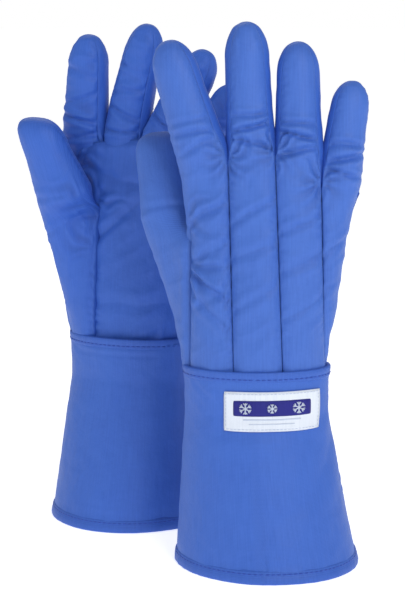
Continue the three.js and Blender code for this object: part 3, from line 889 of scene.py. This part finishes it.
def make_thumb(glove):
    tube = thumb_tube(glove)
    knuckle_z = glove.digits["thumb"]["knuckle"][2]
    pinned = inside_hand(tube.points, 1.0).astype(float)
    pinned[:, tube.seams] = 1
    for column, top in tube.partial.items():
        pinned[tube.along[:, 0] < top, column] = 1
    pinned[:2] = 1
    slack = 0.3 + 0.5 * bell(tube.along - knuckle_z + 4, 16)
    tube.points = swell(tube.points, True, pinned, slack, 30.0, 3.2)
    creases = [(knuckle_z + height, *crease, role) for role in ("back", "front")
               for height, *crease in ((-16, 0.8, 0.35, 2.4), (3, 0.9, -0.2, 2.2))]
    fans = [((THUMB_SEAM_X[0], knuckle_z - 4), 24.0, 2.0, 4, None, "front"),
            ((THUMB_SEAM_X[0], knuckle_z - 40), 28.0, 1.4, 4, 150, "front")]
    fine = tailor(tube, True, 600 + glove.hand_sign, creases=creases, fans=fans)
    for role, slot, nodes in (("back", "back_shell", ("thumb_back_panel",)),
                              ("front", "palm_shell", ("thumb_front_panel", "thumb_base_panel"))):
        obj = panel(glove, fine, role, f"thumb_{role}", slot, nodes)
        drop_inside(glove, obj)
        blend_digit(glove, obj, "thumb")


def drop_inside(glove, obj, inset=6.0):
    """Removes the faces of a piece that lie deep inside the hand."""
    mesh = obj.data
    centre = np.empty(len(mesh.polygons) * 3)
    mesh.polygons.foreach_get("center", centre)
    p = glove.from_row(centre.reshape(-1, 3))
    deep = inside_hand(p, inset) & (p[:, 2] < 290)
    bm = bmesh.new()
    bm.from_mesh(mesh)
    bm.faces.ensure_lookup_table()
    bmesh.ops.delete(bm, geom=[bm.faces[i] for i in np.flatnonzero(deep)], context="FACES")
    bm.to_mesh(mesh)
    bm.free()


def make_palm(glove, beside):
    """The palm, sewn along both sides to the fingers' own outer seams."""
    sheet = palm_sheet()
    p = sheet.points
    pinned = np.zeros(p.shape[:2])
    pinned[:2] = pinned[-1:] = 1
    pinned[:, [0, -1]] = 1
    slack = 0.35 + 0.35 * smooth(sheet.along, 200, 280)
    sheet.points = swell(p, False, pinned, slack, 14.0, 3.5)
    fine = tailor(sheet, False, 900 + glove.hand_sign, folds=1.2,
                  creases=[(232, 1.3, 0.75, 4.5, "palm"), (262, 1.0, -0.25, 4.0, "palm"),
                           (168, 0.9, 0.1, 4.0, "palm")],
                  fans=[((THUMB_SEAM_X[0] - 3, 246.0), 24.0, 1.5, 4, 20, "palm"),
                        ((-44.0, 274.0), 24.0, 2.2, 4, None, "palm")],
                  beside=(0, glove.digits["thumb"]["knuckle"][2] - THUMB_CROTCH))
    for column, (tube, seam) in zip((0, -1), beside):
        line = tube.points[tube.along[:, 0] < 300, seam]
        edge = fine.points[:, column].copy()
        target = np.stack([np.interp(edge[:, 2], line[:, 2], line[:, k]) for k in range(3)], -1)
        away = np.linalg.norm(fine.points - edge[:, None], axis=-1)
        fine.points += (target - edge)[:, None] * (1 - smooth(away, 0, 16))[..., None]
    # its top edge is tucked in under the fingers, with painted shade there
    height = np.linspace(0, 1, fine.points.shape[0])[:, None]
    fine.points[..., 1] -= 4.5 * smooth(height, 0.965, 1.0)
    fine.dark = np.maximum(fine.dark, np.exp(-(1 - height) * 50))
    obj = panel(glove, fine, "palm", "palm", "palm_shell", ("palm_panel",), closed=False)
    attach(obj, f"{glove.side}_hand")


def make_cuff_shell(glove):
    z, angle = level_grid(7.0, 140.0, ROW, 120)
    seam_column = 30  # the middle of the little-finger side
    p = cuff_section(z, angle, 0.0, HEM_SHIFT[glove.side])
    p = p + cuff_folds(p, glove)
    pinned = np.zeros(z.shape)
    pinned[:3] = pinned[-2:] = 1
    pinned[:, seam_column] = 1
    slack = 0.18 + 0.4 * smooth(z, 90, 135)
    p = lerp(swell(p, True, pinned, slack, 5.0, 2.6), p, under_label(p)[..., None])
    tube = Tube(p, np.full(z.shape[1], "cuff"), [seam_column], angle * CUFF_RADIUS, z)
    tube.free = np.ones(z.shape)
    crease_z = 30 if glove.side == "right" else 70
    fine = tailor(tube, True, 1200 + glove.hand_sign, folds=0.8, pucker=0.3,
                  creases=[(crease_z, 0.6, 0.75, 8.0, "cuff")])
    # painted shade along the cuff's seam
    obj = tube_piece(glove, "cuff_shell_cloth", fine.points, "cuff_shell", ("cuff_shell",), fine.across,
                     fine.along, np.exp(-fine.seam_distance / SEAM_SHADE_WIDTH).ravel(), inwards=False)
    thicken(obj)
    blend_wrist(glove, obj)


def make_cuff_lining(glove):
    """The cuff's lining, quilted in upright channels."""
    z, angle = level_grid(6.0, 130.0, ROW, 144)
    p = cuff_section(z, angle, -PADDING, HEM_SHIFT[glove.side])
    channel = np.abs(np.sin(angle * 9))
    p = p + cuff_folds(p, glove) - 2.4 * (channel ** 0.6)[..., None] * unit(p * [1, 1, 0])
    # painted shade in the stitched valleys between the quilted channels
    lining = tube_piece(glove, "cuff_lining", p, "quilted_liner", ("cuff_quilted_liner",),
                        angle * CUFF_RADIUS, z, np.exp(-channel * 6).ravel())
    blend_wrist(glove, lining)


def make_trim(glove):
    """The turned hem and the sewn edge at the wrist, with their stitches."""
    hem = [(-0.2, 9.2), (0.35, 8.9), (0.8, 8.2), (0.45, 7.2), (0.75, 6.2), (1.2, 4.5), (1.2, 1.6), (0.6, 0.4),
           (-2.0, 0.1), (-6.0, 0.1), (-8.6, 0.6), (-9.7, 2.2), (-9.8, 5.0), (-9.1, 7.2), (-9.7, 9.5),
           (-9.2, 12.2), (-7.0, 13.0), (-2.5, 13.0)]
    band = ring_piece(glove, "hem_band", hem, ("hem_binding",), 61)
    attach(band, f"{glove.side}_cuff")
    welt = [(-0.3, 134.6), (0.35, 135.4), (0.6, 136.2), (0.25, 137.2), (0.6, 138.2), (0.85, 140.0),
            (0.8, 141.6), (0.2, 142.5), (-1.6, 142.4), (-2.8, 141.0), (-3.0, 138.0), (-2.2, 134.8),
            (-1.2, 134.2)]
    band = ring_piece(glove, "wrist_band", welt, ("wrist_welt",), 71)
    blend_wrist(glove, band)
    thread = stitches(glove, "hem_stitching", *cuff_line(glove, 7.2, 0.68), "trim", THREAD)
    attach(thread, f"{glove.side}_cuff")
    thread = stitches(glove, "wrist_stitching", *cuff_line(glove, 137.2, 0.48), "trim", THREAD)
    blend_wrist(glove, thread)


def on_cuff(glove, x, z, lift):
    """Points on the back of the cuff at x and z, lifted off the cloth, with their outward directions."""
    shift = HEM_SHIFT[glove.side]
    x, z = np.asarray(x, float), np.asarray(z, float)
    flare = np.clip(1 - z / FLARE_Z, 0, 1)
    angle = np.arcsin(np.clip((x - shift * flare) / lerp(CUFF_TOP[0], HEM_RADIUS, flare), -1, 1))
    p = cuff_section(z, angle, 0.0, shift)
    n = unit(cuff_section(z, angle, 1.0, shift) - p)
    return p + cuff_folds(p, glove) + n * np.asarray(lift, float)[..., None], n


def patch(glove, name, box, lift, thick, slot, replaces=(), nz=14, corner=0.3, material=None):
    """A thin closed patch sewn on the cuff, lift above it: box is x0, x1, z0, z1, and corner how far its
    corners are pulled in."""
    x0, x1, z0, z1 = box
    nx = 34
    u, v = np.meshgrid(np.linspace(-1, 1, nx), np.linspace(-1, 1, nz), indexing="xy")
    pull = corner * (np.abs(u) ** 8) * (np.abs(v) ** 8)
    x = (x0 + x1) / 2 + u * (x1 - x0) / 2 - np.sign(u) * pull
    z = (z0 + z1) / 2 + v * (z1 - z0) / 2 - np.sign(v) * pull
    edge = np.maximum(np.abs(u), np.abs(v)) > 0.999
    wave = 0.25 * value_noise(np.stack([x, 0 * x, z], -1), 13.0, 81)
    top, _ = on_cuff(glove, x, z, lift + np.where(edge, 0.35 * thick, thick) + wave)
    bottom, _ = on_cuff(glove, x, z, np.full_like(x, lift) + wave)
    points = np.concatenate([top.reshape(-1, 3), bottom.reshape(-1, 3)])
    faces = grid_faces(nz, nx, False)
    count = nx * nz
    rim = [*range(nx), *(nx * k + nx - 1 for k in range(1, nz)), *(count - 2 - k for k in range(nx - 1)),
           *(nx * k for k in range(nz - 2, 0, -1))]
    sides = [[a, a + count, b + count, b] for a, b in zip(rim, rim[1:] + rim[:1])]
    faces = faces.tolist() + (faces[:, ::-1] + count).tolist() + sides
    uv = np.tile(weave_map(x, z), (2, 1))
    obj = add_piece(glove, name, points, faces, slot, replaces, uv, material=material)
    blend_wrist(glove, obj)
    return obj


def bar_on_label(glove, start, end, width):
    """The eight corners of a thin embroidered bar between two points of the label."""
    side = unit(end - start)[::-1] * [-1, 1] * width / 2
    x, z = np.array([start - side, end - side, end + side, start + side]).T
    return np.concatenate([on_cuff(glove, x, z, np.full(4, lift))[0] for lift in (2.5, 1.95)])


def make_motif(glove, band):
    """Three six-armed frost marks on the label's dark band."""
    bars = []
    for x, size in ((band[0] + 8.0, 4.0), (band[1] - 8.0, 4.0), ((band[0] + band[1]) / 2, 3.2)):
        centre = np.array([x, (band[2] + band[3]) / 2])
        for turn in np.radians([90, 30, 150]):
            arm = size * np.array([math.cos(turn), math.sin(turn)])
            aside = 0.32 * np.array([-arm[1], arm[0]])
            bars.append((centre - arm, centre + arm, 0.7))
            for end in (-1, 1):
                for branch in (aside, -aside):
                    bars.append((centre + end * 0.55 * arm, centre + end * 0.95 * arm + branch, 0.55))
    box = ((0, 1, 2, 3), (7, 6, 5, 4), (0, 4, 5, 1), (1, 5, 6, 2), (2, 6, 7, 3), (3, 7, 4, 0))
    points = np.concatenate([bar_on_label(glove, *bar) for bar in bars])
    faces = [[8 * k + corner for corner in face] for k in range(len(bars)) for face in box]
    blend_wrist(glove, add_piece(glove, "label_motif", points, faces, "label", material=PALE_THREAD))


def make_label(glove):
    x0, x1, z0, z1 = LABEL["from"], LABEL["to"], LABEL["low"], LABEL["high"]
    patch(glove, "label_cloth", (x0, x1, z0, z1), 1.0, 0.6, "label", ("label_patch",))
    band = (x0 + 6.5, x1 - 6.5, z1 - 17.0, z1 - 6.0)
    patch(glove, "label_band", band, 1.7, 0.3, "label_bar", ("label_bar",), nz=8)
    make_motif(glove, band)
    for k, (low, width) in enumerate(((z0 + 7.6, 1.0), (z0 + 4.8, 0.7))):
        rule = (x0 + 13.0 + 4 * k, x1 - 13.0 - 4 * k, low, low + width)
        patch(glove, f"label_rule_{k + 1}", rule, 1.65, 0.2, "label", nz=3, corner=0.0, material=PALE_THREAD)
    x0, x1, z0, z1 = x0 + 1.5, x1 - 1.5, z0 + 1.5, z1 - 1.5
    corners = np.array([(x0, z0), (x1, z0), (x1, z1), (x0, z1), (x0, z0)])
    path = [lerp(a, b, t) for a, b in zip(corners, corners[1:])
            for t in np.linspace(0, 1, 24, endpoint=False)]
    x, z = np.array([*path, corners[0]]).T
    points, normals = on_cuff(glove, x, z, np.full(len(x), 1.62))
    thread = stitches(glove, "label_stitching", points, normals, "label", PALE_THREAD, stitch=1.9, pitch=2.7,
                      radius=0.26)
    blend_wrist(glove, thread)


def make_linings(glove):
    """The brushed lining inside the hand and the digits, seen up the cuff."""
    z, angle = level_grid(116.0, 272.0, 4.0, 96)
    hand = ellipse_point(np.maximum(z, HAND[0][0]), angle, PADDING)
    hand[..., 2] = z
    mouth = cuff_section(z, angle, -PADDING - 0.6, HEM_SHIFT[glove.side])
    p = lerp(hand, mouth, (1 - smooth(z, 118, 134))[..., None])
    shown = ("hand_back_quilted_liner", "palm_quilted_liner", "thumb_base_quilted_liner")
    obj = tube_piece(glove, "hand_lining", p, "quilted_liner", shown, angle * 45, z)
    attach(obj, f"{glove.side}_hand")
    for name in SIZES:
        if name == "thumb":
            tube = thumb_tube(glove, PADDING, 176.0)
        else:
            tube = finger_tube(glove, FINGERS.index(name), PADDING, 258.0)
        p, across, along = (tipped(grid) for grid in (tube.points, tube.across, tube.along))
        shown = (f"{name}_quilted_liner",)
        obj = tube_piece(glove, f"{name}_lining", p, "quilted_liner", shown, across, along)
        blend_digit(glove, obj, name)


def make_glove(side):
    glove = Glove(side)
    fingers = [make_finger(glove, i) for i in range(4)]
    make_thumb(glove)
    outer = [(fingers[0], 0), (fingers[3], int(np.flatnonzero(fingers[3].roles == "front")[0]))]
    make_palm(glove, outer)
    make_cuff_shell(glove)
    make_cuff_lining(glove)
    make_trim(glove)
    make_label(glove)
    make_linings(glove)


make_glove("right")
make_glove("left")


# ---- stage, light and camera
def area_light(name, place, size, power):
    """A square white light that faces the middle of the gloves."""
    data = bpy.data.lights.new(name, "AREA")
    data.shape = "RECTANGLE"
    data.size = data.size_y = size
    data.energy = power
    obj = add_object(name, data)
    obj.location = place
    obj.rotation_euler = (Vector((0.0, 0.0, 0.19)) - Vector(place)).to_track_quat("-Z", "Y").to_euler()


corners = np.array([(-40, -40, 0), (40, -40, 0), (40, 40, 0), (-40, 40, 0)], float)
floor = add_object("floor", make_mesh("floor", corners, [(0, 1, 2, 3)]))
floor_material = bpy.data.materials.new("floor_white")
floor_material.use_nodes = True
floor_shader = floor_material.node_tree.nodes["Principled BSDF"]
for key, value in (("Base Color", (0.88, 0.88, 0.88, 1)), ("Roughness", 0.8), ("Specular IOR Level", 0.1),
                   ("Emission Color", (1, 1, 1, 1)), ("Emission Strength", 0.68)):
    floor_shader.inputs[key].default_value = value
floor.data.materials.append(floor_material)

world = bpy.data.worlds.new("studio")
world.use_nodes = True
tree = world.node_tree
# white light all round, and a brighter white behind the gloves in the picture
light = tree.nodes["Background"]
light.inputs["Strength"].default_value = 0.40
backdrop = node(tree, "ShaderNodeBackground", Strength=1.0)
for background in (light, backdrop):
    background.inputs["Color"].default_value = (1, 1, 1, 1)
rays = node(tree, "ShaderNodeLightPath")
seen = node(tree, "ShaderNodeMixShader", {0: rays.outputs["Is Camera Ray"], 1: light.outputs[0],
                                          2: backdrop.outputs[0]})
tree.links.new(seen.outputs[0], tree.nodes["World Output"].inputs["Surface"])
bpy.context.scene.world = world
bpy.context.scene.view_settings.view_transform = "Standard"

area_light("key", (0.75, -1.5, 1.25), 0.8, 15)
area_light("fill", (-1.5, -0.9, 0.9), 1.0, 2.5)
area_light("back", (-0.3, 1.6, 1.6), 1.2, 6)

SENSOR = 36.0  # millimetres
camera = add_object("camera", bpy.data.cameras.new("camera"))
camera.data.sensor_fit = "HORIZONTAL"
camera.data.sensor_width = SENSOR
camera.data.lens = 4.441975 * SENSOR
camera.location = (0.0565, -1.3097, 0.3868)
camera.rotation_euler = (math.radians(90 - 9.2), 0, math.radians(1.97))
bpy.context.scene.camera = camera
